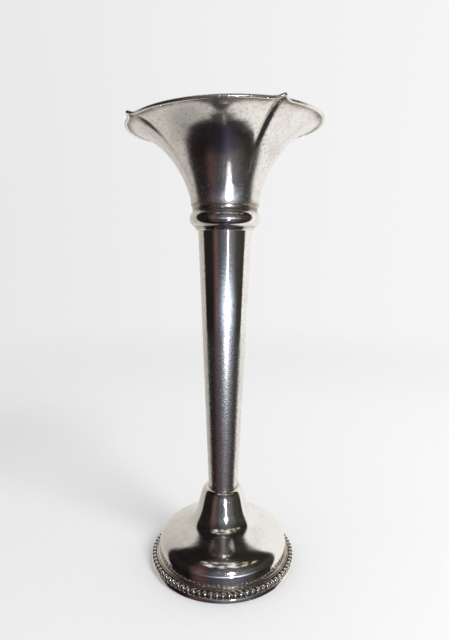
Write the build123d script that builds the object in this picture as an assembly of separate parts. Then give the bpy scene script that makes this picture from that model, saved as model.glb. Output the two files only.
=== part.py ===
from build123d import *
import os
from math import cos, pi, radians, sin, sqrt

# Silver trumpet vase with a loaded foot.
# Millimetres. Z is the vase's axis, pointing up, and Z = 0 is the surface that it stands on.
# The four creases of the mouth lie on the diagonals between X and Y.

# Sheet, solder and fit
sheet = 0.7                     # wall of the raised silver pieces
solder_gap = 0.1                # room for solder between two mating faces

# Border of the foot
baize_thickness = 1.0
base_plate_thickness = 0.8
bead_radius = 1.08
bead_space = 0.15               # bare wire between two beads
bead_bite = 0.23                # how deep a bead sinks into its strip
bead_strip_thickness = 0.6
bead_strip_height = 2.1
band_overhang = 0.07            # how far the plain band stands out under the beads
band_lap = 0.6                  # how far the band reaches in past the skirt
band_edge_rounding = 0.5

# Foot shell, from the skirt inside the beads up to the lip round the stem
skirt_radius = 27.9
ledge_step = 0.3                # ledge above the bead strip
ledge_width = 0.6
dome_draft = 0.1                # lean of the dome's side
dome_side_rise = 2.6            # nearly upright side of the dome
dome_width = 10.5               # from the dome's side in to the flare
dome_rise = 9.6
dome_roundness = 0.55           # 0 is a plain bevel, 1 a square corner
dome_slope = 0.5                # fall per millimetre outward where the flare meets the dome
dome_pull = 2.7                 # how far that slope reaches into the flare
flare_rise = 7.6
flare_pull = 5.1                # how far the neck's slope reaches into the flare
neck_taper = 0.26               # radius gained per millimetre down the neck
neck_pull = 2.5                 # how far that slope reaches up to the lip
neck_spread = 3.5
neck_rise = 8.2
lip_width = 0.8
lip_rounding = 1.7

# Stem
stem_lip_radius = 6.1           # outside of the tube where it enters the foot
stem_collar_radius = 10.62      # outside of the tube where it enters the collar
stem_length = 107.3             # between the two
stem_depth_in_foot = 8.2        # length of tube hidden in the neck
stem_rise_in_collar = 6.0       # length of tube hidden in the collar
plug_thickness = 1.5            # disc that closes the tube's lower end

# Collar ring
collar_height = 9.6             # from its underside to the mouth's lower edge
collar_step_width = 1.3         # small step under the half-round
collar_step_height = 1.5
collar_step_taper = 0.8         # how far the step runs in towards the stem
collar_bulge = 1.95
collar_neck_height = 2.2        # hollow neck between the half-round and the mouth
collar_neck_depth = 0.35        # how far it stands back from the mouth's lower edge
collar_neck_hollow = 0.2

# Trumpet mouth
throat_radius = 13.35           # outside, at the lower edge
spigot_length = 4.5             # sleeve inside the stem tube
rim_radius = 37.9               # at the middle of a lobe
rim_rise = 30.0                 # above the mouth's lower edge
peak_reach = 1.5                # small peak of the rim where a crease ends in it
peak_rise = 1.0
rim_wire_radius = 0.6
lobe_count = 4

# Heights and radii that follow
band_height = baize_thickness + base_plate_thickness
ledge_height = band_height + bead_strip_height + ledge_step
dome_side_height = ledge_height + dome_side_rise
dome_top_height = dome_side_height + dome_rise
neck_height = dome_top_height + flare_rise
lip_height = neck_height + neck_rise
collar_bottom = lip_height + stem_length
mouth_bottom = collar_bottom + collar_height
stem_bottom = lip_height - stem_depth_in_foot
stem_top = collar_bottom + stem_rise_in_collar
spigot_bottom = stem_top - spigot_length
lip_radius = stem_lip_radius + solder_gap + lip_width
neck_radius = lip_radius + neck_spread
dome_base_radius = skirt_radius - ledge_width
dome_radius = dome_base_radius - dome_draft
dome_top_radius = dome_radius - dome_width
bead_strip_radius = skirt_radius + solder_gap
bead_circle_radius = bead_strip_radius + bead_strip_thickness - bead_bite + bead_radius
bead_count = 4 * round(2 * pi * bead_circle_radius / (2 * bead_radius + bead_space) / 4)
band_radius = bead_circle_radius + bead_radius + band_overhang
band_inner_radius = skirt_radius - sheet - band_lap

# Flare of the mouth, as (outward, upward) shares of the way from throat to rim
lobe_flare = [(0, 0), (0.01, 0.16), (0.124, 0.468), (0.316, 0.712), (0.715, 0.96), (1, 1)]
crease_flare = [(0, 0), (0.01, 0.16), (0.124, 0.468), (0.346, 0.678), (0.655, 1.03), (1, 1)]
# How fast a crease dies out sideways
crease_sharpness = 25
# Places of the sections from a crease (0) to the middle of its lobe (1)
section_places = [0, 0.03, 0.07, 0.13, 0.22, 0.36, 0.56, 0.78, 1]


def inset(points, distance):
    """The open line of (radius, height) points moved sideways, to the right of its direction."""
    normals = []
    for (r0, z0), (r1, z1) in zip(points, points[1:]):
        length = sqrt((r1 - r0) ** 2 + (z1 - z0) ** 2)
        normals.append(((z1 - z0) / length, (r0 - r1) / length))
    moved = []
    for index, (r, z) in enumerate(points):
        before = normals[max(index - 1, 0)]
        after = normals[min(index, len(normals) - 1)]
        share = distance / (1 + before[0] * after[0] + before[1] * after[1])
        moved.append((r + share * (before[0] + after[0]), z + share * (before[1] + after[1])))
    return moved


def at_angle(point, angle):
    """A (radius, height) point placed in the half plane at this angle round the axis."""
    r, z = point
    return Vector(r * cos(radians(angle)), r * sin(radians(angle)), z)


def line_through(points, angle=0):
    return Polyline(*[at_angle(point, angle) for point in points]).edges()


def curve_through(points, angle=0):
    return Bezier(*[at_angle(point, angle) for point in points]).edges()


def turned(edges):
    """The solid that a closed outline sweeps in a full turn about the vase's axis."""
    return revolve(make_face(edges), axis=Axis.Z, revolution_arc=360)


def ring(inner, outer, bottom, top):
    corners = [(inner, bottom), (outer, bottom), (outer, top), (inner, top), (inner, bottom)]
    return turned(line_through(corners))


def stem_radius(z):
    """Outside radius of the tapered tube at this height."""
    slope = (stem_collar_radius - stem_lip_radius) / (collar_bottom - lip_height)
    return stem_lip_radius + slope * (z - lip_height)


spigot_radius = stem_radius(spigot_bottom) - sheet - solder_gap


def foot_outline():
    """Outside of the foot from the flat lip down to the dome's side: three curves, end to end."""
    top_pull = dome_roundness * dome_width
    side_pull = dome_roundness * dome_rise
    return [
        (lip_radius, lip_height),
        (lip_radius + lip_rounding, lip_height),
        (neck_radius - neck_taper * neck_pull, neck_height + neck_pull),
        (neck_radius, neck_height),
        (neck_radius + neck_taper * flare_pull, neck_height - flare_pull),
        (dome_top_radius - dome_pull, dome_top_height + dome_slope * dome_pull),
        (dome_top_radius, dome_top_height),
        (dome_top_radius + top_pull, dome_top_height - dome_slope * top_pull),
        (dome_radius, dome_side_height + side_pull),
        (dome_radius, dome_side_height),
    ]


def foot_curves(points):
    """The foot's three curves through their ten points."""
    return curve_through(points[0:4]) + curve_through(points[3:7]) + curve_through(points[6:10])


def foot_shell():
    outside = foot_outline()
    inside = inset(outside, sheet)
    bore = stem_radius(lip_height) + solder_gap
    ledge = [
        outside[-1],
        (dome_base_radius, ledge_height),
        (skirt_radius, ledge_height),
        (skirt_radius, band_height),
        (skirt_radius - sheet, band_height),
        (skirt_radius - sheet, ledge_height - sheet),
        (dome_base_radius - sheet, ledge_height - sheet),
        inside[-1],
    ]
    lip = [inside[0], (bore, inside[0][1]), (bore, lip_height), outside[0]]
    return turned(foot_curves(outside) + line_through(ledge) + foot_curves(inside) + line_through(lip))


def base_load():
    """Pitch filling of the foot, with a pocket for the stem and a flat underside."""
    outside = inset(foot_outline(), sheet + solder_gap)
    top = outside[0][1]
    bottom_radius = dome_base_radius - sheet - solder_gap
    walls = [
        outside[-1],
        (bottom_radius, ledge_height - sheet),
        (bottom_radius, band_height),
        (0, band_height),
        (0, stem_bottom),
        (stem_radius(stem_bottom) + solder_gap, stem_bottom),
        (stem_radius(top) + solder_gap, top),
        outside[0],
    ]
    return turned(foot_curves(outside) + line_through(walls))


def foot_band():
    """Plain band under the beads, with a rounded upper edge."""
    edge = [
        (band_radius, band_height - band_edge_rounding),
        (band_radius, band_height),
        (band_radius - band_edge_rounding, band_height),
    ]
    walls = [
        edge[-1],
        (band_inner_radius, band_height),
        (band_inner_radius, 0),
        (band_radius, 0),
        edge[0],
    ]
    return turned(line_through(walls) + curve_through(edge))


def bead_border():
    """Beads in a row on a narrow strip, soldered round the skirt of the foot: one link, repeated."""
    pitch = 360 / bead_count
    strip_outside = bead_strip_radius + bead_strip_thickness
    strip_top = band_height + bead_strip_height
    corners = [
        (bead_strip_radius, band_height),
        (strip_outside, band_height),
        (strip_outside, strip_top),
        (bead_strip_radius, strip_top),
        (bead_strip_radius, band_height),
    ]
    strip = revolve(make_face(line_through(corners, -pitch / 2)), axis=Axis.Z, revolution_arc=pitch)
    link = strip + Pos(bead_circle_radius, 0, band_height + bead_radius) * Sphere(bead_radius)
    border = link.rotate(Axis.Z, pitch / 2)
    for number in range(1, bead_count):
        border += link.rotate(Axis.Z, pitch * (number + 0.5))
    return border


def base_plate():
    radius = band_inner_radius - solder_gap
    return ring(0, radius, band_height - base_plate_thickness, band_height)


def baize_pad():
    radius = band_inner_radius - solder_gap
    top = band_height - base_plate_thickness
    return ring(0, radius, top - baize_thickness, top)


def stem_tube():
    walls = [
        (stem_radius(stem_bottom), stem_bottom),
        (stem_radius(stem_top), stem_top),
        (stem_radius(stem_top) - sheet, stem_top),
        (stem_radius(stem_bottom) - sheet, stem_bottom),
        (stem_radius(stem_bottom), stem_bottom),
    ]
    return turned(line_through(walls))


def stem_plug():
    """Disc soldered into the lower end of the tube, so that the stem holds water."""
    side = sheet + solder_gap
    top = stem_bottom + plug_thickness
    walls = [
        (0, stem_bottom),
        (stem_radius(stem_bottom) - side, stem_bottom),
        (stem_radius(top) - side, top),
        (0, top),
        (0, stem_bottom),
    ]
    return turned(line_through(walls))


def funnel_height(radius):
    """Height of the underside of the mouth's funnel, between its spigot and its lower edge."""
    slope = (mouth_bottom - stem_top) / (throat_radius - spigot_radius)
    return stem_top + slope * (radius - spigot_radius)


def collar_ring():
    """Half-round ring over the joint, with a small step below it and a hollow neck above it."""
    bore_bottom = stem_radius(collar_bottom) + solder_gap
    bore_top = stem_radius(stem_top) + solder_gap
    step_radius = bore_bottom + collar_step_width
    step_top = collar_bottom + collar_step_height
    neck_edge = throat_radius - collar_neck_depth
    seat_top = funnel_height(neck_edge) - solder_gap
    round_top = seat_top - collar_neck_height
    half_round = ThreePointArc(
        at_angle((step_radius, step_top), 0),
        at_angle((step_radius + collar_bulge, (step_top + round_top) / 2), 0),
        at_angle((neck_edge, round_top), 0),
    )
    neck = ThreePointArc(
        at_angle((neck_edge, round_top), 0),
        at_angle((neck_edge - collar_neck_hollow, (round_top + seat_top) / 2), 0),
        at_angle((neck_edge, seat_top), 0),
    )
    walls = [
        (neck_edge, seat_top),
        (bore_top, funnel_height(bore_top) - solder_gap),
        (bore_top, stem_top),
        (bore_bottom, collar_bottom),
        (step_radius - collar_step_taper, collar_bottom),
        (step_radius, step_top),
    ]
    return turned(half_round.edges() + neck.edges() + line_through(walls))


def crease_share(place):
    """How much of the crease is left at this place between the crease (0) and mid lobe (1)."""
    return (1 - place) ** crease_sharpness


def rim_centre(place):
    """Centre of the rim wire, as (radius, height), at this place between crease and mid lobe."""
    share = crease_share(place)
    radius = rim_radius - rim_wire_radius + share * peak_reach
    return radius, mouth_bottom + rim_rise + share * peak_rise


def flare_points(place):
    """Outside of the mouth from throat to rim wire at this place between crease and mid lobe."""
    wire_radius, wire_height = rim_centre(place)
    width = wire_radius - rim_wire_radius - solder_gap - throat_radius
    height = wire_height - sheet / 2 - mouth_bottom
    share = crease_share(place)
    points = []
    for lobe, crease in zip(lobe_flare, crease_flare):
        outward = lobe[0] + share * (crease[0] - lobe[0])
        upward = lobe[1] + share * (crease[1] - lobe[1])
        points.append((throat_radius + outward * width, mouth_bottom + upward * height))
    return points


def lobe_stations():
    """The sections of one lobe, as (place, angle), from one crease to the next."""
    half = 180 / lobe_count
    rising = [(place, half + place * half) for place in section_places]
    falling = [(place, half + (2 - place) * half) for place in reversed(section_places[:-1])]
    return rising + falling


def mouth_section(place, angle):
    """Wall of the mouth in one half plane: spigot, funnel and flare, up the outside and down the inside."""
    outside = flare_points(place)
    inside = inset(outside, -sheet)
    inside[0] = (throat_radius - sheet, mouth_bottom)
    bore = spigot_radius - sheet
    spigot = [
        inside[0],
        (bore, stem_top + sheet),
        (bore, spigot_bottom),
        (spigot_radius, spigot_bottom),
        (spigot_radius, stem_top),
        outside[0],
    ]
    edges = curve_through(outside, angle) + curve_through(inside, angle)
    edges += line_through([outside[-1], inside[-1]], angle) + line_through(spigot, angle)
    return make_face(edges)


def round_the_mouth(lobe):
    """One lobe repeated all round and joined into one solid."""
    lobes = [lobe.rotate(Axis.Z, 360 / lobe_count * number) for number in range(lobe_count)]
    return lobes[0].fuse(*lobes[1:])


def trumpet_mouth():
    """Lobed flare, with a funnel and a spigot below it that stand in the stem tube."""
    return round_the_mouth(loft([mouth_section(place, angle) for place, angle in lobe_stations()]))


def rim_wire():
    """Round wire that stiffens the edge of the mouth and follows its four peaks."""
    sections = []
    for place, angle in lobe_stations():
        radial = Vector(cos(radians(angle)), sin(radians(angle)), 0)
        across = Vector(-sin(radians(angle)), cos(radians(angle)), 0)
        plane = Plane(at_angle(rim_centre(place), angle), x_dir=radial, z_dir=across)
        sections.append(plane * Circle(rim_wire_radius))
    return round_the_mouth(loft(sections))


os.makedirs("parts", exist_ok=True)
for piece in (
    trumpet_mouth, rim_wire, collar_ring, stem_tube, stem_plug, foot_shell,
    bead_border, foot_band, base_load, base_plate, baize_pad,
):
    export_step(piece(), f"parts/{piece.__name__}.step")
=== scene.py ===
from math import comb, cos, pi, radians, sin, sqrt

import bmesh
import bpy
import numpy as np
from mathutils import Matrix, Vector, noise


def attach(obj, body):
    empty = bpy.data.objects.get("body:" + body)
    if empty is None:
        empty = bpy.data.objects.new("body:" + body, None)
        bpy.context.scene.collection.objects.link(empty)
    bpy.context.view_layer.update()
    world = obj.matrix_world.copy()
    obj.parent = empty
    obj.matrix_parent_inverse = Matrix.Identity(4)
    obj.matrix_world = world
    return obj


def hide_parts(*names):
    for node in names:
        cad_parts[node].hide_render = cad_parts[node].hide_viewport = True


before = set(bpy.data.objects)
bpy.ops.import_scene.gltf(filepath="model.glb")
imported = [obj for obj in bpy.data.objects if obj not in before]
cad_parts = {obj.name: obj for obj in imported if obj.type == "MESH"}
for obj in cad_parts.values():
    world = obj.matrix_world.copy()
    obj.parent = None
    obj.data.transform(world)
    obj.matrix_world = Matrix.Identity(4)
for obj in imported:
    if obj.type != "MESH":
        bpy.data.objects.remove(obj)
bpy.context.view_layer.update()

# Looks of the silver trumpet vase: its dressed pieces, their finish, the studio and the camera.
# Sizes are in millimetres, as in the solids, and become metres where a mesh is made.
# Z is the vase's axis, Z = 0 the floor, and the creases of the mouth lie on the diagonals.
MM = 0.001

# Sheet and border of the foot
sheet = 0.7
baize_thickness = 1.0
baize_clearance = 0.12          # room under the pad
baize_edge = 0.3                # rounding of the pad's edge
base_plate_thickness = 0.8
bead_radius = 1.08
bead_space = 0.15
bead_bite = 0.23
bead_wire_radius = 0.35         # wire that joins the beads
bead_strip_thickness = 0.7
bead_strip_height = 2.1
band_overhang = 0.07
band_lap = 0.6
band_edge_rounding = 0.5

# Foot shell
skirt_radius = 27.9
ledge_step = 0.3
ledge_width = 0.6
dome_draft = 0.1
dome_side_rise = 2.6
dome_width = 10.5
dome_rise = 9.6
dome_roundness = 0.55
dome_slope = 0.5
dome_pull = 2.7
flare_rise = 7.6
flare_pull = 5.1
neck_taper = 0.26
neck_pull = 2.5
neck_spread = 3.5
neck_rise = 8.2
lip_width = 0.9
lip_rounding = 1.7

# Stem and collar ring
stem_lip_radius = 6.1
stem_collar_radius = 10.62
stem_length = 107.3
stem_depth_in_foot = 8.2
stem_rise_in_collar = 6.0
collar_height = 9.6
collar_step_width = 1.4
collar_step_height = 1.5
collar_step_taper = 0.8
collar_bulge = 1.95
collar_neck_height = 2.2
collar_neck_depth = 0.35
collar_neck_hollow = 0.2

# Trumpet mouth
throat_radius = 13.35
spigot_length = 4.5
rim_radius = 37.9
rim_rise = 30.0
peak_reach = 1.5
peak_rise = 1.0
rim_wire_radius = 0.6
rim_solder = 0.15               # how far the sheet runs into the wire
crease_rounding = 0.03          # share of a half lobe over which a crease is rounded
lobe_count = 4

# Heights and radii that follow
band_height = baize_thickness + base_plate_thickness
ledge_height = band_height + bead_strip_height + ledge_step
dome_side_height = ledge_height + dome_side_rise
dome_top_height = dome_side_height + dome_rise
neck_height = dome_top_height + flare_rise
lip_height = neck_height + neck_rise
collar_bottom = lip_height + stem_length
mouth_bottom = collar_bottom + collar_height
stem_bottom = lip_height - stem_depth_in_foot
stem_top = collar_bottom + stem_rise_in_collar
spigot_bottom = stem_top - spigot_length
lip_radius = stem_lip_radius + lip_width
neck_radius = lip_radius + neck_spread
dome_base_radius = skirt_radius - ledge_width
dome_radius = dome_base_radius - dome_draft
dome_top_radius = dome_radius - dome_width
bead_circle_radius = skirt_radius + bead_strip_thickness - bead_bite + bead_radius
bead_count = 4 * round(2 * pi * bead_circle_radius / (2 * bead_radius + bead_space) / 4)
band_radius = bead_circle_radius + bead_radius + band_overhang
band_inner_radius = skirt_radius - sheet - band_lap

# Flare of the mouth, as (outward, upward) shares of the way from throat to rim
lobe_flare = [(0, 0), (0.01, 0.16), (0.124, 0.468), (0.316, 0.712), (0.715, 0.96), (1, 1)]
crease_flare = [(0, 0), (0.01, 0.16), (0.124, 0.468), (0.346, 0.678), (0.655, 1.03), (1, 1)]
crease_sharpness = 25

# Fineness of the meshes
turn_columns = 192
baize_columns = 96
baize_rings = 20
stem_rows = 60
curve_points = 36
half_lobe_columns = 26
column_crowding = 1.7           # how much closer the mouth's columns lie towards a crease
wire_points = 16
bead_columns = 9
corner_points = 5
soft_edge = 0.15                # rounding of the sheet's cut edges
sharp_corner = radians(28)      # a turn of an outline above this gets rounded
corner_limit = 0.45             # longest cut at a corner, as a share of the line beside it
sharp_edge = radians(40)        # a mesh edge above this is shaded sharp
tiny = 1e-6                     # points nearer than this are one point

# Unevenness of hand work
mouth_tilt = 0.033              # slope of the rim, which is a little higher on one side in the photograph
tilt_shift = 0.4                # how far the tilt also moves the rim sideways, as a share of a full lean
tilt_height = 8.0               # height above the collar over which the tilt begins
raised_side = radians(15)       # the higher side, from +X towards +Y
mouth_dent = 0.1                # depth of the dents
foot_dent = 0.07
stem_dent = 0.035
slight_dent = 0.03              # on the band, the collar ring and the rim wire
baize_dent = 0.08
usual_dent_size = 14.0          # distance from dent to dent
stem_dent_size = 18.0
baize_dent_size = 3.0
fine_dents = 0.3                # depth of the small dents as a share of the large ones
fine_dent_scale = 3.1           # how many small dents come to a large one

# Strength of the tarnish from 0 to 1, and how far it reaches
ledge_stain = 0.45
lip_stain = 0.5
foot_stain_width = 0.5
strip_stain = 0.75
bead_gap_stain = 0.9
bead_inner_stain = 0.1
stem_stain = 0.15
neck_stain = 0.8
neck_stain_width = collar_neck_height / 1.6
step_stain = 0.4
step_stain_width = 0.35
crease_stain = 0.75
crease_stain_width = 0.05       # share of a half lobe
throat_stain = 0.55
throat_stain_width = 0.9
seam_width = 1.7                # strip along the rim wire that is tarnish together with painted shade under the wire

# Dullness of worn silver, from 0 to 1
bead_satin = 0.6
rim_satin = 0.7
throat_satin = 0.8
throat_satin_rise = 0.75 * rim_rise
satin_top = 106                 # the stem is duller below this height
satin_fade = 14


def bezier(points, count):
    """Places along a Bezier curve, both ends included."""
    t = np.linspace(0, 1, count)[:, None]
    degree = len(points) - 1
    shares = [comb(degree, k) * (1 - t) ** (degree - k) * t ** k for k in range(degree + 1)]
    return sum(share * np.array(point) for share, point in zip(shares, points))


def inset(points, distance):
    """The open line of (radius, height) points moved sideways, to the right of its direction."""
    normals = []
    for (r0, z0), (r1, z1) in zip(points, points[1:]):
        length = sqrt((r1 - r0) ** 2 + (z1 - z0) ** 2)
        normals.append(((z1 - z0) / length, (r0 - r1) / length))
    moved = []
    for index, (r, z) in enumerate(points):
        before = normals[max(index - 1, 0)]
        after = normals[min(index, len(normals) - 1)]
        share = distance / (1 + before[0] * after[0] + before[1] * after[1])
        moved.append((r + share * (before[0] + after[0]), z + share * (before[1] + after[1])))
    return moved


def eased(outline, rounding):
    """The closed outline with its sharp corners rounded, and without doubled points."""
    points = [np.array(p, float) for p in outline]
    points = [p for p, q in zip(points, points[-1:] + points[:-1]) if np.linalg.norm(p - q) > tiny]
    result = []
    for before, corner, after in zip(points[-1:] + points[:-1], points, points[1:] + points[:1]):
        back, ahead = before - corner, after - corner
        back_length, ahead_length = np.linalg.norm(back), np.linalg.norm(ahead)
        turn = pi - np.arccos(np.clip(back @ ahead / back_length / ahead_length, -1, 1))
        if turn < sharp_corner:
            result.append(corner)
            continue
        cut = min(rounding, corner_limit * back_length, corner_limit * ahead_length)
        ends = corner + back / back_length * cut, corner, corner + ahead / ahead_length * cut
        result.extend(bezier(ends, corner_points))
    return np.array(result)


def arc_through(first, middle, last, count):
    """Places along the circular arc through three points."""
    (ax, ay), (bx, by), (cx, cy) = first, middle, last
    d = 2 * (ax * (by - cy) + bx * (cy - ay) + cx * (ay - by))
    a2, b2, c2 = ax * ax + ay * ay, bx * bx + by * by, cx * cx + cy * cy
    centre = np.array([(a2 * (by - cy) + b2 * (cy - ay) + c2 * (ay - by)) / d,
                       (a2 * (cx - bx) + b2 * (ax - cx) + c2 * (bx - ax)) / d])
    start, _, end = np.unwrap([np.arctan2(*(np.array(p) - centre)[::-1]) for p in (first, middle, last)])
    reach = np.linalg.norm(np.array(first) - centre)
    turns = np.linspace(start, end, count)
    return [tuple(centre + reach * np.array([cos(t), sin(t)])) for t in turns]


def smooth_step(share):
    """0 up to a share of 0 and 1 from a share of 1, with a soft rise between them."""
    share = np.clip(share, 0, 1)
    return share * share * (3 - 2 * share)


def bell(distance, width):
    """1 at no distance, falling softly to nothing beyond the width."""
    return np.exp(-(distance / width) ** 2)


def from_axis(points):
    return np.hypot(points[:, 0], points[:, 1])


def ring_faces(columns, rows, closed=True):
    """Quads between neighbouring columns all round the axis; closed says that the rows close up too."""
    faces = []
    for column in range(columns):
        here = column * rows
        after = (column + 1) % columns * rows
        for row in range(rows if closed else rows - 1):
            above = (row + 1) % rows
            faces.append((here + row, after + row, after + above, here + above))
    return faces


def write_finish(mesh, points, tarnish, satin):
    """Give the silver material what it reads at each point: polishing direction, tarnish and dullness."""
    columns = len(points)
    flat = points.reshape(-1, 3)
    steps = np.linalg.norm(np.diff(points, axis=1), axis=2)
    along = np.concatenate([np.zeros((columns, 1)), np.cumsum(steps, axis=1)], axis=1).reshape(-1)
    radius = np.maximum(from_axis(flat), tiny)
    polish = np.stack([flat[:, 0] / radius, flat[:, 1] / radius, along], axis=1)
    mesh.attributes.new("polish", "FLOAT_VECTOR", "POINT").data.foreach_set("vector", polish.ravel())
    for label, value in (("tarnish", tarnish), ("satin", satin)):
        values = value(flat) if callable(value) else np.full(len(flat), value)
        mesh.attributes.new(label, "FLOAT", "POINT").data.foreach_set("value", values.ravel())


def hammer(shape, depth, size):
    """Move the points of the shape along their normals, as the hammer left them."""
    places = [vertex.co / (size * MM) for vertex in shape.verts]
    shares = [noise.noise(place) + fine_dents * noise.noise(place * fine_dent_scale) for place in places]
    moves = [vertex.normal * depth * MM * share for vertex, share in zip(shape.verts, shares)]
    for vertex, move in zip(shape.verts, moves):
        vertex.co += move
        vertex.co.z = max(vertex.co.z, 0)


def make_piece(name, points, node, material, closed=True, dent=0.0, dent_size=usual_dent_size,
               tarnish=0.0, satin=0.0):
    """A piece from a ring of points [column, row, xyz] in millimetres, standing for a CAD node.

    dent is the depth of the unevenness that the hammer left. tarnish and satin are each one number, or a
    function of the points.
    """
    columns, rows, _ = points.shape
    mesh = bpy.data.meshes.new(name)
    mesh.from_pydata((points.reshape(-1, 3) * MM).tolist(), [], ring_faces(columns, rows, closed))
    write_finish(mesh, points, tarnish, satin)
    shape = bmesh.new()
    shape.from_mesh(mesh)
    bmesh.ops.remove_doubles(shape, verts=shape.verts, dist=tiny)
    bmesh.ops.recalc_face_normals(shape, faces=shape.faces)
    shape.normal_update()
    if dent:
        hammer(shape, dent, dent_size)
    shape.to_mesh(mesh)
    shape.free()
    mesh.shade_smooth()
    mesh.set_sharp_from_angle(angle=sharp_edge)
    mesh.materials.append(material)
    piece = bpy.data.objects.new(name, mesh)
    bpy.context.scene.collection.objects.link(piece)
    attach(piece, "root")
    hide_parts(node)
    return piece


def spun(profile, columns=turn_columns):
    """Points of a line turned about the vase's axis, as a ring."""
    angles = np.arange(columns) * 2 * pi / columns
    ring = np.zeros((columns, len(profile), 3))
    ring[:, :, 0] = np.cos(angles)[:, None] * profile[None, :, 0]
    ring[:, :, 1] = np.sin(angles)[:, None] * profile[None, :, 0]
    ring[:, :, 2] = profile[None, :, 1]
    return ring


def turned(outline, rounding=soft_edge):
    """Points of a closed outline with eased corners, turned about the vase's axis."""
    return spun(eased(outline, rounding))


def stem_radius(z):
    """Outside radius of the tapered tube at this height."""
    slope = (stem_collar_radius - stem_lip_radius) / (collar_bottom - lip_height)
    return stem_lip_radius + slope * (z - lip_height)


spigot_radius = stem_radius(spigot_bottom) - sheet


def funnel_height(radius):
    """Height of the underside of the mouth's funnel, between its spigot and its lower edge."""
    slope = (mouth_bottom - stem_top) / (throat_radius - spigot_radius)
    return stem_top + slope * (radius - spigot_radius)


# Nodes of the materials and the world


def new_material(name):
    material = bpy.data.materials.new(name)
    material.use_nodes = True
    return material, material.node_tree, material.node_tree.nodes["Principled BSDF"]


def add_node(tree, kind, inputs=None, **settings):
    """A node with its settings and input values; an input that is a socket gets a link."""
    node = tree.nodes.new(kind)
    for key, value in settings.items():
        setattr(node, key, value)
    for key, value in (inputs or {}).items():
        if isinstance(value, bpy.types.NodeSocket):
            tree.links.new(value, node.inputs[key])
        else:
            node.inputs[key].default_value = value
    return node


def texture_noise(tree, vector, scale, detail=3.0, roughness=0.55):
    made = add_node(tree, "ShaderNodeTexNoise", {
        "Vector": vector, "Scale": scale, "Detail": detail, "Roughness": roughness,
    })
    return made.outputs["Fac"]


def remap(tree, value, source, target=(0.0, 1.0)):
    """The value moved from one range to another, and kept inside it."""
    made = add_node(tree, "ShaderNodeMapRange", {
        "Value": value,
        "From Min": source[0], "From Max": source[1],
        "To Min": target[0], "To Max": target[1],
    })
    return made.outputs["Result"]


def ease_between(tree, value, low, high):
    """0 at low and 1 at high, with a soft rise between them."""
    made = add_node(tree, "ShaderNodeMapRange", {"Value": value, "From Min": low, "From Max": high},
                    interpolation_type="SMOOTHSTEP")
    return made.outputs["Result"]


def math_node(tree, operation, first, second=0.0, clamp=False):
    made = add_node(tree, "ShaderNodeMath", {0: first, 1: second}, operation=operation, use_clamp=clamp)
    return made.outputs[0]


def added(tree, first, second, clamp=False):
    return math_node(tree, "ADD", first, second, clamp)


def times(tree, first, second):
    return math_node(tree, "MULTIPLY", first, second)


def vector_times(tree, first, second):
    made = add_node(tree, "ShaderNodeVectorMath", {0: first, 1: second}, operation="MULTIPLY")
    return made.outputs[0]


def dot(tree, vector, axis):
    made = add_node(tree, "ShaderNodeVectorMath", {0: vector, 1: axis}, operation="DOT_PRODUCT")
    return made.outputs["Value"]


def scaled(tree, colour, factor):
    made = add_node(tree, "ShaderNodeVectorMath", {0: colour, "Scale": factor}, operation="SCALE")
    return made.outputs[0]


def mix_colour(tree, factor, first, second):
    made = add_node(tree, "ShaderNodeMix", data_type="RGBA")
    for key, value in (("Factor", factor), ("A", first), ("B", second)):
        socket = next(s for s in made.inputs if s.name == key and s.type in ("RGBA", "VALUE") and s.enabled)
        if isinstance(value, bpy.types.NodeSocket):
            tree.links.new(value, socket)
        else:
            socket.default_value = value
    return next(s for s in made.outputs if s.type == "RGBA")


def colour_ramp(tree, value, stops):
    ramp = add_node(tree, "ShaderNodeValToRGB", {"Fac": value})
    elements = ramp.color_ramp.elements
    while len(elements) < len(stops):
        elements.new(0.5)
    for element, (position, colour) in zip(elements, stops):
        element.position = position
        element.color = (*colour, 1)
    return ramp.outputs["Color"]


def object_place(tree):
    return add_node(tree, "ShaderNodeTexCoord").outputs["Object"]


def set_bump(tree, shader, height, strength, depth):
    """Relief of the surface, with its depth in metres."""
    bump = add_node(tree, "ShaderNodeBump", {"Strength": strength, "Distance": depth, "Height": height})
    tree.links.new(bump.outputs["Normal"], shader.inputs["Normal"])


# Middle part of a noise texture's values
noise_range = (0.3, 0.7)

# Old polished silver
SILVER = (0.87, 0.845, 0.81, 1)
TARNISH = (0.27, 0.205, 0.155, 1)
polish_stretch = (5, 5, 2.5)    # fineness of the polishing lines round the axis and along the outline
polish_lines = {"scale": 1.0, "detail": 5.0, "roughness": 0.7}
sand_grain = {"scale": 900.0, "detail": 3.0, "roughness": 0.65}
tarnish_patches = {"scale": 110.0, "detail": 4.0, "roughness": 0.6}
speck_range = (0.5, 0.7)        # values of the grain from which specks grow
film_range = (0.45, 0.75)       # values of the patches from which the film grows
film_strength = 0.22
hollow_spread = (0.6, 1.1)      # how much the patches weaken or strengthen the tarnish in hollows
line_roughness = 0.07
dull_roughness = 0.25
satin_roughness = 0.12
line_height = 0.6               # shares of the relief
grain_height = 3.0
satin_grain_height = 8.0
relief_depth = 0.006 * MM


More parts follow.
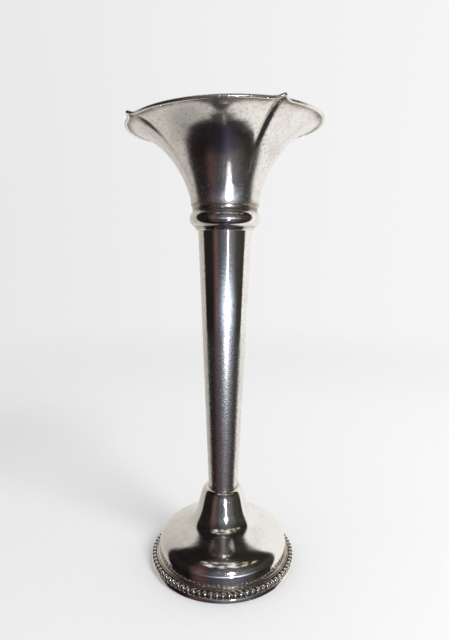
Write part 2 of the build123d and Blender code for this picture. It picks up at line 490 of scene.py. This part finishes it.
def silver(name, smoothness, wear, grain, spots):
    """Old polished silver: fine lines round the axis from polishing, grain, and tarnish in the hollows."""
    material, tree, shader = new_material(name)
    polish = add_node(tree, "ShaderNodeAttribute", attribute_name="polish").outputs["Vector"]
    stain = add_node(tree, "ShaderNodeAttribute", attribute_name="tarnish").outputs["Fac"]
    satin = add_node(tree, "ShaderNodeAttribute", attribute_name="satin").outputs["Fac"]
    place = object_place(tree)
    lines = texture_noise(tree, vector_times(tree, polish, polish_stretch), **polish_lines)
    sand = texture_noise(tree, place, **sand_grain)
    patches = texture_noise(tree, place, **tarnish_patches)
    # Colour
    specks = remap(tree, sand, speck_range, (0.0, spots))
    film = added(tree, remap(tree, patches, film_range, (0.0, film_strength * wear)), specks)
    # The tarnish attribute is tarnish, and along the rim wire it also carries painted shade.
    hollow = times(tree, stain, remap(tree, patches, noise_range, hollow_spread))
    dull = added(tree, film, hollow, clamp=True)
    tree.links.new(mix_colour(tree, dull, SILVER, TARNISH), shader.inputs["Base Color"])
    shader.inputs["Metallic"].default_value = 1.0
    # Roughness
    rough = remap(tree, lines, noise_range, (smoothness, smoothness + line_roughness))
    rough = added(tree, rough, times(tree, dull, dull_roughness))
    rough = added(tree, rough, times(tree, satin, satin_roughness))
    tree.links.new(rough, shader.inputs["Roughness"])
    # Relief
    sand_height = remap(tree, satin, (0.0, 1.0), (grain_height * grain, satin_grain_height * grain))
    sand_relief = times(tree, math_node(tree, "SUBTRACT", sand, 0.5), sand_height)
    relief = added(tree, times(tree, lines, line_height), sand_relief)
    set_bump(tree, shader, relief, 1.0, relief_depth)
    return material


# Green baize
FELT_DARK = (0.012, 0.065, 0.035, 1)
FELT_LIGHT = (0.06, 0.20, 0.115, 1)
felt_fibres = {"scale": 2400.0, "detail": 4.0, "roughness": 0.75}
felt_tufts = {"scale": 420.0, "detail": 3.0}
fibre_share = 0.7
tuft_share = 0.4
felt_range = (0.35, 0.75)
felt_roughness = 0.95
felt_sheen = 0.35
felt_relief = 0.8
felt_depth = 0.2 * MM


def felt(name):
    """Green baize: short wool fibres, brushed every way."""
    material, tree, shader = new_material(name)
    place = object_place(tree)
    fibres = times(tree, texture_noise(tree, place, **felt_fibres), fibre_share)
    tufts = times(tree, texture_noise(tree, place, **felt_tufts), tuft_share)
    shade = added(tree, fibres, tufts)
    colour = mix_colour(tree, remap(tree, shade, felt_range), FELT_DARK, FELT_LIGHT)
    tree.links.new(colour, shader.inputs["Base Color"])
    shader.inputs["Roughness"].default_value = felt_roughness
    shader.inputs["Sheen Weight"].default_value = felt_sheen
    set_bump(tree, shader, shade, felt_relief, felt_depth)
    return material


# Finish of the pieces inside
mottle_detail = 5.0
mottle_fineness = 0.65
mottle_roughness = 0.1          # how far the roughness goes up and down
mottle_relief = 0.5
mottle_depth = 0.05 * MM


def mottled(name, first, second, metallic, roughness, scale):
    """Two tones in soft patches, for the pieces inside."""
    material, tree, shader = new_material(name)
    patches = texture_noise(tree, object_place(tree), scale, mottle_detail, mottle_fineness)
    colour = mix_colour(tree, remap(tree, patches, noise_range), first, second)
    tree.links.new(colour, shader.inputs["Base Color"])
    shader.inputs["Metallic"].default_value = metallic
    rough = remap(tree, patches, noise_range, (roughness - mottle_roughness, roughness + mottle_roughness))
    tree.links.new(rough, shader.inputs["Roughness"])
    set_bump(tree, shader, patches, mottle_relief, mottle_depth)
    return material


mouth_silver = silver("mouth_silver", smoothness=0.10, wear=1.0, grain=0.8, spots=0.35)
stem_silver = silver("stem_silver", smoothness=0.06, wear=0.6, grain=1.3, spots=0.30)
foot_silver = silver("foot_silver", smoothness=0.06, wear=0.9, grain=0.4, spots=0.10)
baize = felt("baize")

# Foot


def foot_curves(points):
    """The foot's three curves through their ten points."""
    return np.concatenate([bezier(points[k:k + 4], curve_points)[k > 0:] for k in (0, 3, 6)])


def foot_shell():
    top_pull = dome_roundness * dome_width
    side_pull = dome_roundness * dome_rise
    outside = [
        (lip_radius, lip_height),
        (lip_radius + lip_rounding, lip_height),
        (neck_radius - neck_taper * neck_pull, neck_height + neck_pull),
        (neck_radius, neck_height),
        (neck_radius + neck_taper * flare_pull, neck_height - flare_pull),
        (dome_top_radius - dome_pull, dome_top_height + dome_slope * dome_pull),
        (dome_top_radius, dome_top_height),
        (dome_top_radius + top_pull, dome_top_height - dome_slope * top_pull),
        (dome_radius, dome_side_height + side_pull),
        (dome_radius, dome_side_height),
    ]
    inside = inset(outside, sheet)
    bore = stem_radius(lip_height)
    ledge = [
        (dome_base_radius, ledge_height),
        (skirt_radius, ledge_height),
        (skirt_radius, band_height),
        (skirt_radius - sheet, band_height),
        (skirt_radius - sheet, ledge_height - sheet),
        (dome_base_radius - sheet, ledge_height - sheet),
    ]
    lip = [(bore, inside[0][1]), (bore, lip_height)]
    outline = [*foot_curves(inside)[::-1], *lip, *foot_curves(outside), *ledge]

    def stain(points):
        """Tarnish along the ledge and in the lip."""
        near_ledge = bell(points[:, 2] - ledge_height, foot_stain_width)
        near_lip = bell(from_axis(points) - bore, foot_stain_width)
        return ledge_stain * near_ledge + lip_stain * near_lip

    return make_piece("foot", turned(outline), "foot_shell", foot_silver,
                      dent=foot_dent, tarnish=stain)


def foot_band():
    outline = [
        (band_radius, 0), (band_radius, band_height),
        (band_inner_radius, band_height), (band_inner_radius, 0),
    ]
    ring = turned(outline, rounding=band_edge_rounding)
    return make_piece("band", ring, "foot_band", foot_silver, dent=slight_dent)


def bead_strip():
    outside = skirt_radius + bead_strip_thickness
    top = band_height + bead_strip_height
    outline = [(outside, band_height), (outside, top), (skirt_radius, top), (skirt_radius, band_height)]
    return make_piece("bead_strip", turned(outline), "bead_border", foot_silver,
                      tarnish=strip_stain)


def bead_row():
    """Beads on a thin wire, as one ring whose tube swells at every bead."""
    widest = np.arccos(bead_wire_radius / bead_radius)
    turns = np.linspace(-widest, widest, bead_columns)
    middles = (np.arange(bead_count) + 0.5) * 2 * pi / bead_count
    angles = (middles[:, None] + np.sin(turns)[None, :] * bead_radius / bead_circle_radius).ravel()
    swell = np.tile(bead_radius * np.cos(turns), bead_count)
    round_wire = pi + np.arange(wire_points) * 2 * pi / wire_points
    radius = bead_circle_radius + swell[:, None] * np.cos(round_wire)[None, :]
    ring = np.stack([
        np.cos(angles)[:, None] * radius,
        np.sin(angles)[:, None] * radius,
        band_height + bead_radius + swell[:, None] * np.sin(round_wire)[None, :],
    ], axis=2)
    between = np.repeat(1 - swell / bead_radius, wire_points)

    def stain(points):
        """Darker between the beads and on their inner side."""
        inner = from_axis(points) < bead_circle_radius
        return np.clip(bead_gap_stain * between + bead_inner_stain * inner, 0, 1)

    return make_piece("beads", ring, "bead_border", foot_silver,
                      tarnish=stain, satin=bead_satin)


def baize_pad():
    """Felt pad: a disc with a soft cut edge and a slightly uneven face."""
    radius = band_inner_radius
    low, high = baize_clearance, baize_thickness
    side = radius - baize_edge
    steps = np.linspace(0, side, baize_rings)
    lower = bezier([(side, low), (radius, low), (radius, low + baize_edge)], corner_points)
    upper = bezier([(radius, high - baize_edge), (radius, high), (side, high)], corner_points)
    face = [(r, low) for r in steps[:-1]]
    back = [(r, high) for r in steps[-2::-1]]
    ring = spun(np.array([*face, *lower, *upper, *back]), columns=baize_columns)
    piece = make_piece("baize_disc", ring, "baize_pad", baize, closed=False,
                       dent=baize_dent, dent_size=baize_dent_size)


# Stem and collar


def stem_tube():
    heights = np.linspace(stem_bottom, stem_top, stem_rows)
    outside = [(stem_radius(z), z) for z in heights]
    inside = [(stem_radius(z) - sheet, z) for z in heights[::-1]]

    def satin(points):
        """Duller towards the foot."""
        return smooth_step((satin_top - points[:, 2]) / satin_fade)

    def stain(points):
        return stem_stain * satin(points)

    return make_piece("stem", turned(outside + inside), "stem_tube", stem_silver,
                      dent=stem_dent, dent_size=stem_dent_size, tarnish=stain, satin=satin)


def collar_ring():
    bore_bottom = stem_radius(collar_bottom)
    bore_top = stem_radius(stem_top)
    step_radius = bore_bottom + collar_step_width
    step_top = collar_bottom + collar_step_height
    neck_edge = throat_radius - collar_neck_depth
    seat_top = funnel_height(neck_edge)
    round_top = seat_top - collar_neck_height
    neck_middle = (round_top + seat_top) / 2
    half_round = arc_through(
        (step_radius, step_top),
        (step_radius + collar_bulge, (step_top + round_top) / 2),
        (neck_edge, round_top),
        curve_points,
    )
    neck = arc_through(
        (neck_edge, round_top),
        (neck_edge - collar_neck_hollow, neck_middle),
        (neck_edge, seat_top),
        corner_points,
    )
    outline = [
        (bore_top, funnel_height(bore_top)),
        (bore_top, stem_top),
        (bore_bottom, collar_bottom),
        (step_radius - collar_step_taper, collar_bottom),
        *half_round,
        *neck,
    ]

    def stain(points):
        """Tarnish in the hollow neck and above the step."""
        in_neck = bell(points[:, 2] - neck_middle, neck_stain_width)
        near_step = bell(points[:, 2] - step_top, step_stain_width)
        return neck_stain * in_neck + step_stain * near_step

    return make_piece("collar", turned(outline), "collar_ring", stem_silver,
                      dent=slight_dent, tarnish=stain)


# Mouth


def crease_share(place):
    """How much of the crease is left at this place between the crease (0) and mid lobe (1)."""
    rounded = sqrt(place ** 2 + crease_rounding ** 2) - crease_rounding
    return (1 - rounded) ** crease_sharpness


def rim_centre(place):
    """Centre of the rim wire, as (radius, height), at this place between crease and mid lobe."""
    share = crease_share(place)
    return rim_radius - rim_wire_radius + share * peak_reach, mouth_bottom + rim_rise + share * peak_rise


def flare_points(place):
    """Outside of the mouth from throat to rim wire at this place between crease and mid lobe."""
    wire_radius, wire_height = rim_centre(place)
    width = wire_radius - rim_wire_radius + rim_solder - throat_radius
    height = wire_height - sheet / 2 - mouth_bottom
    share = crease_share(place)
    points = []
    for lobe, crease in zip(lobe_flare, crease_flare):
        outward = lobe[0] + share * (crease[0] - lobe[0])
        upward = lobe[1] + share * (crease[1] - lobe[1])
        points.append((throat_radius + outward * width, mouth_bottom + upward * height))
    return points


def lobe_columns():
    """The columns round the mouth, as (place, angle), closer together towards the creases."""
    half = pi / lobe_count
    rising = [(n / half_lobe_columns) ** column_crowding for n in range(half_lobe_columns + 1)]
    columns = []
    for lobe in range(lobe_count):
        start = half + lobe * 2 * half
        columns += [(place, start + place * half) for place in rising[:-1]]
        columns += [(place, start + (2 - place) * half) for place in rising[:0:-1]]
    return columns


def placed(profile, angle):
    """The (radius, height) points in the half plane at this angle, as xyz."""
    profile = np.array(profile)
    return np.stack([profile[:, 0] * cos(angle), profile[:, 0] * sin(angle), profile[:, 1]], axis=1)


def tilted(points):
    """The mouth's points, bent above the collar so that one side is higher."""
    raised = np.array([cos(raised_side), sin(raised_side), 0])
    upward = points[..., 2] - mouth_bottom
    slope = mouth_tilt * smooth_step(upward / tilt_height)
    lift = slope * (points @ raised)
    shift = tilt_shift * slope * upward
    return points + lift[..., None] * np.array([0, 0, 1]) - shift[..., None] * raised


def mouth_walls(place):
    """Wall of the mouth as (radius, height): flare up the outside and down the inside, then the spigot."""
    outside = flare_points(place)
    inside = inset(outside, -sheet)
    inside[0] = (throat_radius - sheet, mouth_bottom)
    bore = spigot_radius - sheet
    spigot = [
        (bore, stem_top + sheet),
        (bore, spigot_bottom),
        (spigot_radius, spigot_bottom),
        (spigot_radius, stem_top),
    ]
    return [*bezier(outside, 2 * curve_points), *bezier(inside, 2 * curve_points)[::-1], *spigot]


def trumpet_mouth():
    """Lobed flare with its funnel and spigot."""
    ring = []
    creases = []
    seams = []
    for place, angle in lobe_columns():
        walls = mouth_walls(place)
        ring.append(placed(walls, angle))
        creases += [bell(place, crease_stain_width)] * len(walls)
        seams.append(np.linalg.norm(np.array(walls) - rim_centre(place), axis=1) - rim_wire_radius)
    creases = np.array(creases)
    # Along the seam under the rim wire: tarnish together with painted shade.
    seam_tarnish_and_shade = bell(np.concatenate(seams), seam_width)

    def stain(points):
        """Tarnish in the creases and above the collar, and tarnish with painted shade under the rim wire.
        """
        upward = points[:, 2] - mouth_bottom
        high = np.clip(upward / rim_rise, 0, 1)
        near_collar = bell(upward, throat_stain_width)
        return crease_stain * creases * high ** 2 + throat_stain * near_collar + seam_tarnish_and_shade

    def satin(points):
        """Duller in the throat."""
        return throat_satin * np.clip(1 - (points[:, 2] - mouth_bottom) / throat_satin_rise, 0, 1)

    return make_piece("mouth", tilted(np.array(ring)), "trumpet_mouth", mouth_silver,
                      dent=mouth_dent, tarnish=stain, satin=satin)


def rim_wire():
    """Round wire along the edge of the mouth, with its four small peaks."""
    turns = pi + np.arange(wire_points) * 2 * pi / wire_points
    ring = []
    for place, angle in lobe_columns():
        radius, height = rim_centre(place)
        section = [(radius + rim_wire_radius * cos(t), height + rim_wire_radius * sin(t)) for t in turns]
        ring.append(placed(section, angle))
    return make_piece("rim", tilted(np.array(ring)), "rim_wire", mouth_silver,
                      dent=slight_dent, satin=rim_satin)


baize_pad()
stem = stem_tube()
ends = [foot_shell(), foot_band(), bead_strip(), bead_row(), collar_ring(), trumpet_mouth(), rim_wire()]

# Pieces inside: two colours, metallic share, roughness and fineness of the patches
inner_finishes = {
    "stem_plug": mottled("plug_brass", (0.50, 0.36, 0.16, 1), (0.72, 0.58, 0.34, 1), 1.0, 0.45, 500.0),
    "base_load": mottled("load_pitch", (0.05, 0.04, 0.03, 1), (0.16, 0.13, 0.10, 1), 0.0, 0.6, 260.0),
    "base_plate": mottled("plate_steel", (0.42, 0.42, 0.40, 1), (0.62, 0.62, 0.60, 1), 1.0, 0.4, 180.0),
}
for node, finish in inner_finishes.items():
    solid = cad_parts[node].data
    solid.materials.clear()
    solid.materials.append(finish)

# Camera, as fitted to the rim, the stem and the foot in the photograph
view_azimuth = radians(15)      # from -Y towards +X
camera_place = (1.05, -192.55, 131.77)
camera_pitch = radians(-8.28)
camera_yaw = radians(-0.28)
camera_roll = radians(0.42)
focal_pixels = 476.16
image_height = 640
sensor_size = 36
nearest_seen = 10 * MM

turn = Matrix.Rotation(view_azimuth, 4, "Z")
view_back = turn @ Vector((0, 1, 0))
view_right = turn @ Vector((1, 0, 0))


def photo_camera():
    camera = bpy.data.objects.new("camera", bpy.data.cameras.new("camera"))
    bpy.context.scene.collection.objects.link(camera)
    camera.data.sensor_width = sensor_size
    camera.data.sensor_height = sensor_size
    camera.data.lens = sensor_size * focal_pixels / image_height
    camera.data.clip_start = nearest_seen
    level = cos(camera_pitch)
    forward = Vector((sin(camera_yaw) * level, cos(camera_yaw) * level, sin(camera_pitch)))
    sideways = Vector((cos(camera_yaw), -sin(camera_yaw), 0))
    upward = sideways.cross(forward)
    across = cos(camera_roll) * sideways + sin(camera_roll) * upward
    above = -sin(camera_roll) * sideways + cos(camera_roll) * upward
    axes = Matrix((across, above, -forward)).transposed().to_4x4()
    camera.matrix_world = turn @ Matrix.Translation(Vector(camera_place) * MM) @ axes
    bpy.context.scene.camera = camera


# Room that the silver mirrors: dark before the vase, with a glow and panes of light, and bright behind it.
# A direction's parts to the back, to the side, up and to the front go from -1 to 1.
blotches_in_room = {"scale": 3.2, "detail": 4.0, "roughness": 0.6}
blotch_brightness = (0.6, 1.4)
blotch_wave = (-0.06, 0.06)     # how far the blotches bend the edge of the lower part
# The dark part from left to right, as shares of a full turn that has the camera at 0.5
dark_stops = [
    (0.22, (0.014, 0.012, 0.011)),
    (0.34, (0.012, 0.010, 0.010)),
    (0.395, (0.15, 0.084, 0.077)),
    (0.445, (0.060, 0.060, 0.072)),
    (0.50, (0.16, 0.17, 0.20)),
    (0.54, (0.22, 0.23, 0.26)),
    (0.60, (0.13, 0.135, 0.145)),
    (0.67, (0.050, 0.045, 0.034)),
    (0.78, (0.034, 0.030, 0.024)),
]
low_stops = [
    (0.30, (0.014, 0.014, 0.016)),
    (0.46, (0.022, 0.022, 0.030)),
    (0.56, (0.075, 0.075, 0.125)),
    (0.68, (0.030, 0.026, 0.026)),
]
low_start, low_end = -0.82, -0.90
# Tint of the dark part from low to high
tint_range = (-0.6, 0.8)
tint_stops = [
    (0.0, (0.80, 0.74, 0.72)),
    (0.11, (0.62, 0.56, 0.60)),
    (0.18, (0.62, 0.66, 1.05)),
    (0.25, (0.88, 0.92, 1.0)),
    (0.43, (1.0, 1.0, 1.0)),
    (0.62, (1.0, 1.0, 1.0)),
    (0.86, (0.50, 0.46, 0.46)),
]
# Soft glow low beside the camera
GLOW = (2.5, 2.8, 3.5, 1)
glow_azimuth = radians(16)
glow_up = -0.205
glow_width = radians(24)
glow_height = 0.045
# Panes overhead, on a ceiling one unit up
lowest_pane = 0.05
pane_noise = {"scale": 6.0, "detail": 3.0}
pane_cut = (0.49, 0.53)
pane_front = [(0.28, 0.36), (1.00, 0.75)]       # where the panes begin and end, and how softly
pane_sides = [(-0.60, -0.40), (1.25, 0.95)]
pane_range = (-0.5, 1.2)
pane_stops = [
    (0.0, (1.0, 1.0, 0.97)),
    (0.5, (1.0, 1.0, 0.94)),
    (0.65, (0.80, 0.76, 0.42)),
    (1.0, (0.95, 0.95, 0.80)),
]
# The bright part from left to right, with a soft shadow low on its left
bright_stops = [
    (0.0, (0.50, 0.48, 0.45)),
    (0.35, (0.70, 0.68, 0.65)),
    (0.65, (0.93, 0.92, 0.90)),
    (1.0, (1.0, 0.99, 0.98)),
]
shadow_up = (-0.62, -0.85)
shadow_side = (0.10, -0.25)
shadow_brightness = 0.58
# Edge between the dark and the bright part
edge_lean_up = -0.10
edge_lean_side = 0.06
edge_back = (0.14, 0.23)
# Light on what isn't shiny, and the backdrop that the camera sees, from left to right, with painted light:
# darker on the left, brighter on the right
EVEN_LIGHT = (0.74, 0.74, 0.74, 1)
backdrop_range = (-0.45, 0.45)
painted_backdrop_stops = [
    (0.0, (0.80, 0.81, 0.805)),
    (0.5, (0.865, 0.87, 0.865)),
    (1.0, (0.915, 0.92, 0.915)),
]


def dark_part(tree, direction, up, turn_share):
    """Dark part of the room, with its lower part, blotches and tint."""
    blotches = texture_noise(tree, direction, **blotches_in_room)
    wavy = added(tree, up, remap(tree, blotches, noise_range, blotch_wave))
    lowness = ease_between(tree, wavy, low_start, low_end)
    high = colour_ramp(tree, turn_share, dark_stops)
    low = colour_ramp(tree, turn_share, low_stops)
    colour = mix_colour(tree, lowness, high, low)
    colour = scaled(tree, colour, remap(tree, blotches, noise_range, blotch_brightness))
    return vector_times(tree, colour, colour_ramp(tree, remap(tree, up, tint_range), tint_stops))


def glow_share(tree, azimuth, up):
    """Strength of the soft glow in each direction."""
    off_side = times(tree, math_node(tree, "SUBTRACT", azimuth, glow_azimuth), 1 / glow_width)
    off_height = times(tree, math_node(tree, "SUBTRACT", up, glow_up), 1 / glow_height)
    off = added(tree, times(tree, off_side, off_side), times(tree, off_height, off_height))
    return math_node(tree, "EXPONENT", times(tree, off, -1.0))


def panes_over(tree, colour, direction, front, side, up):
    """The colour with panes of light overhead."""
    height = math_node(tree, "MAXIMUM", up, lowest_pane)
    ahead = math_node(tree, "DIVIDE", front, height)
    aside = math_node(tree, "DIVIDE", side, height)
    pane = ease_between(tree, texture_noise(tree, direction, **pane_noise), *pane_cut)
    for value, borders in ((ahead, pane_front), (aside, pane_sides)):
        for border in borders:
            pane = times(tree, pane, ease_between(tree, value, *border))
    pane_colour = colour_ramp(tree, remap(tree, aside, pane_range), pane_stops)
    return mix_colour(tree, pane, colour, pane_colour)


def bright_part(tree, side, up):
    """Bright part of the room, behind the vase."""
    colour = colour_ramp(tree, remap(tree, side, (-1.0, 1.0)), bright_stops)
    shadow = times(tree, ease_between(tree, up, *shadow_up), ease_between(tree, side, *shadow_side))
    return scaled(tree, colour, remap(tree, shadow, (0.0, 1.0), (1.0, shadow_brightness)))


def room():
    """World light: a pale backdrop for the camera with painted light, brighter to the right, even light,
    and what the silver mirrors.
    """
    world = bpy.data.worlds.new("room")
    bpy.context.scene.world = world
    world.use_nodes = True
    tree = world.node_tree
    tree.nodes.clear()
    direction = add_node(tree, "ShaderNodeTexCoord").outputs["Generated"]
    back = dot(tree, direction, view_back)
    side = dot(tree, direction, view_right)
    up = dot(tree, direction, (0, 0, 1))
    front = times(tree, back, -1.0)
    azimuth = math_node(tree, "ARCTAN2", side, front)
    dark = dark_part(tree, direction, up, remap(tree, azimuth, (-pi, pi)))
    dark = mix_colour(tree, glow_share(tree, azimuth, up), dark, GLOW)
    dark = panes_over(tree, dark, direction, front, side, up)
    leaning = added(tree, times(tree, up, edge_lean_up), times(tree, side, edge_lean_side))
    edge = ease_between(tree, added(tree, back, leaning), *edge_back)
    mirrored_colour = mix_colour(tree, edge, dark, bright_part(tree, side, up))
    mirrored = add_node(tree, "ShaderNodeBackground", {"Color": mirrored_colour})
    even = add_node(tree, "ShaderNodeBackground", {"Color": EVEN_LIGHT})
    # Painted light on the backdrop: darker on the left, brighter on the right.
    paper = colour_ramp(tree, remap(tree, side, backdrop_range), painted_backdrop_stops)
    backdrop = add_node(tree, "ShaderNodeBackground", {"Color": paper})
    rays = add_node(tree, "ShaderNodeLightPath").outputs
    shiny = math_node(tree, "MAXIMUM", rays["Is Glossy Ray"], rays["Is Transmission Ray"])
    seen = add_node(tree, "ShaderNodeMixShader", {0: shiny, 1: even.outputs[0], 2: mirrored.outputs[0]})
    full = add_node(tree, "ShaderNodeMixShader", {
        0: rays["Is Camera Ray"], 1: seen.outputs[0], 2: backdrop.outputs[0],
    })
    add_node(tree, "ShaderNodeOutputWorld", {"Surface": full.outputs[0]})


# Floor, with its sizes in metres
PAPER_DARK = (0.86, 0.87, 0.865, 1)
PAPER_LIGHT = (0.89, 0.895, 0.89, 1)
paper_grain = {"scale": 300.0, "detail": 3.0}
floor_reach = 0.7
floor_columns = 96
fade_start = 0.15
side_reach, side_painted_light = (-0.30, 0.30), (0.96, 1.03)    # painted light: brighter to the right
back_reach, back_painted_light = (0.02, 0.22), (1.0, 1.07)      # painted light: brighter to the back


def floor_paper():
    """Pale paper with painted light, brighter to the right and to the back, that fades out into the
    backdrop, and is clear from below.
    """
    material = bpy.data.materials.new("floor")
    material.use_nodes = True
    tree = material.node_tree
    tree.nodes.clear()
    place = object_place(tree)
    distance = add_node(tree, "ShaderNodeVectorMath", {0: place}, operation="LENGTH").outputs["Value"]
    fade = ease_between(tree, distance, fade_start, floor_reach)
    below = add_node(tree, "ShaderNodeNewGeometry").outputs["Backfacing"]
    clear = math_node(tree, "MAXIMUM", fade, below)
    tint = mix_colour(tree, texture_noise(tree, place, **paper_grain), PAPER_DARK, PAPER_LIGHT)
    # Painted light: the paper's colour is made brighter to the right and to the back.
    painted_light_aside = remap(tree, dot(tree, place, view_right), side_reach, side_painted_light)
    painted_light_behind = remap(tree, dot(tree, place, view_back), back_reach, back_painted_light)
    colour = scaled(tree, tint, times(tree, painted_light_aside, painted_light_behind))
    surface = add_node(tree, "ShaderNodeBsdfDiffuse", {"Color": colour})
    nothing = add_node(tree, "ShaderNodeBsdfTransparent")
    full = add_node(tree, "ShaderNodeMixShader", {0: clear, 1: surface.outputs[0], 2: nothing.outputs[0]})
    add_node(tree, "ShaderNodeOutputMaterial", {"Surface": full.outputs[0]})
    return material


def floor():
    """Round floor under the vase, which the silver doesn't mirror."""
    mesh = bpy.data.meshes.new("floor")
    shape = bmesh.new()
    bmesh.ops.create_circle(shape, cap_ends=True, radius=floor_reach, segments=floor_columns)
    shape.to_mesh(mesh)
    shape.free()
    mesh.materials.append(floor_paper())
    ground = bpy.data.objects.new("floor", mesh)
    bpy.context.scene.collection.objects.link(ground)
    ground.visible_glossy = False


# Lamps, placed as seen from the camera's side: X to its right, Y away from it
vase_middle = (0, 0, 90)


def lamp(name, place, width, power, height=None):
    """Lamp that faces the vase: a disc, or a strip if it has a height. Its power is in watts."""
    light = bpy.data.lights.new(name, "AREA")
    light.shape = "RECTANGLE" if height else "DISK"
    light.size = width * MM
    light.size_y = (height or width) * MM
    light.energy = power
    made = bpy.data.objects.new(name, light)
    bpy.context.scene.collection.objects.link(made)
    made.location = turn @ (Vector(place) * MM)
    facing = turn @ (Vector(vase_middle) * MM) - made.location
    made.rotation_euler = facing.to_track_quat("-Z", "Y").to_euler()
    made.visible_camera = False
    return made


def highlight(name, place, width, power, height=None, pieces=None):
    """Lamp that only makes highlights, on these pieces or on all."""
    made = lamp(name, place, width, power, height)
    made.visible_diffuse = False
    if pieces:
        lit = bpy.data.collections.new(name)
        for piece in pieces:
            lit.objects.link(piece)
        made.light_linking.receiver_collection = lit


def lights():
    """Soft key light, the camera's flash, and its drawn-out highlights on the pieces."""
    key = lamp("key", (380, -330, 520), width=280, power=2.2)
    key.visible_glossy = False
    highlight("flash", (62, -250, 57), width=32, power=0.12)
    highlight("strip", (62, -250, 30), width=14, power=0.045, height=200, pieces=ends)
    highlight("line", (62, -250, 95), width=14, power=0.014, height=70, pieces=[stem])


bpy.context.scene.view_settings.view_transform = "Standard"
photo_camera()
room()
floor()
lights()
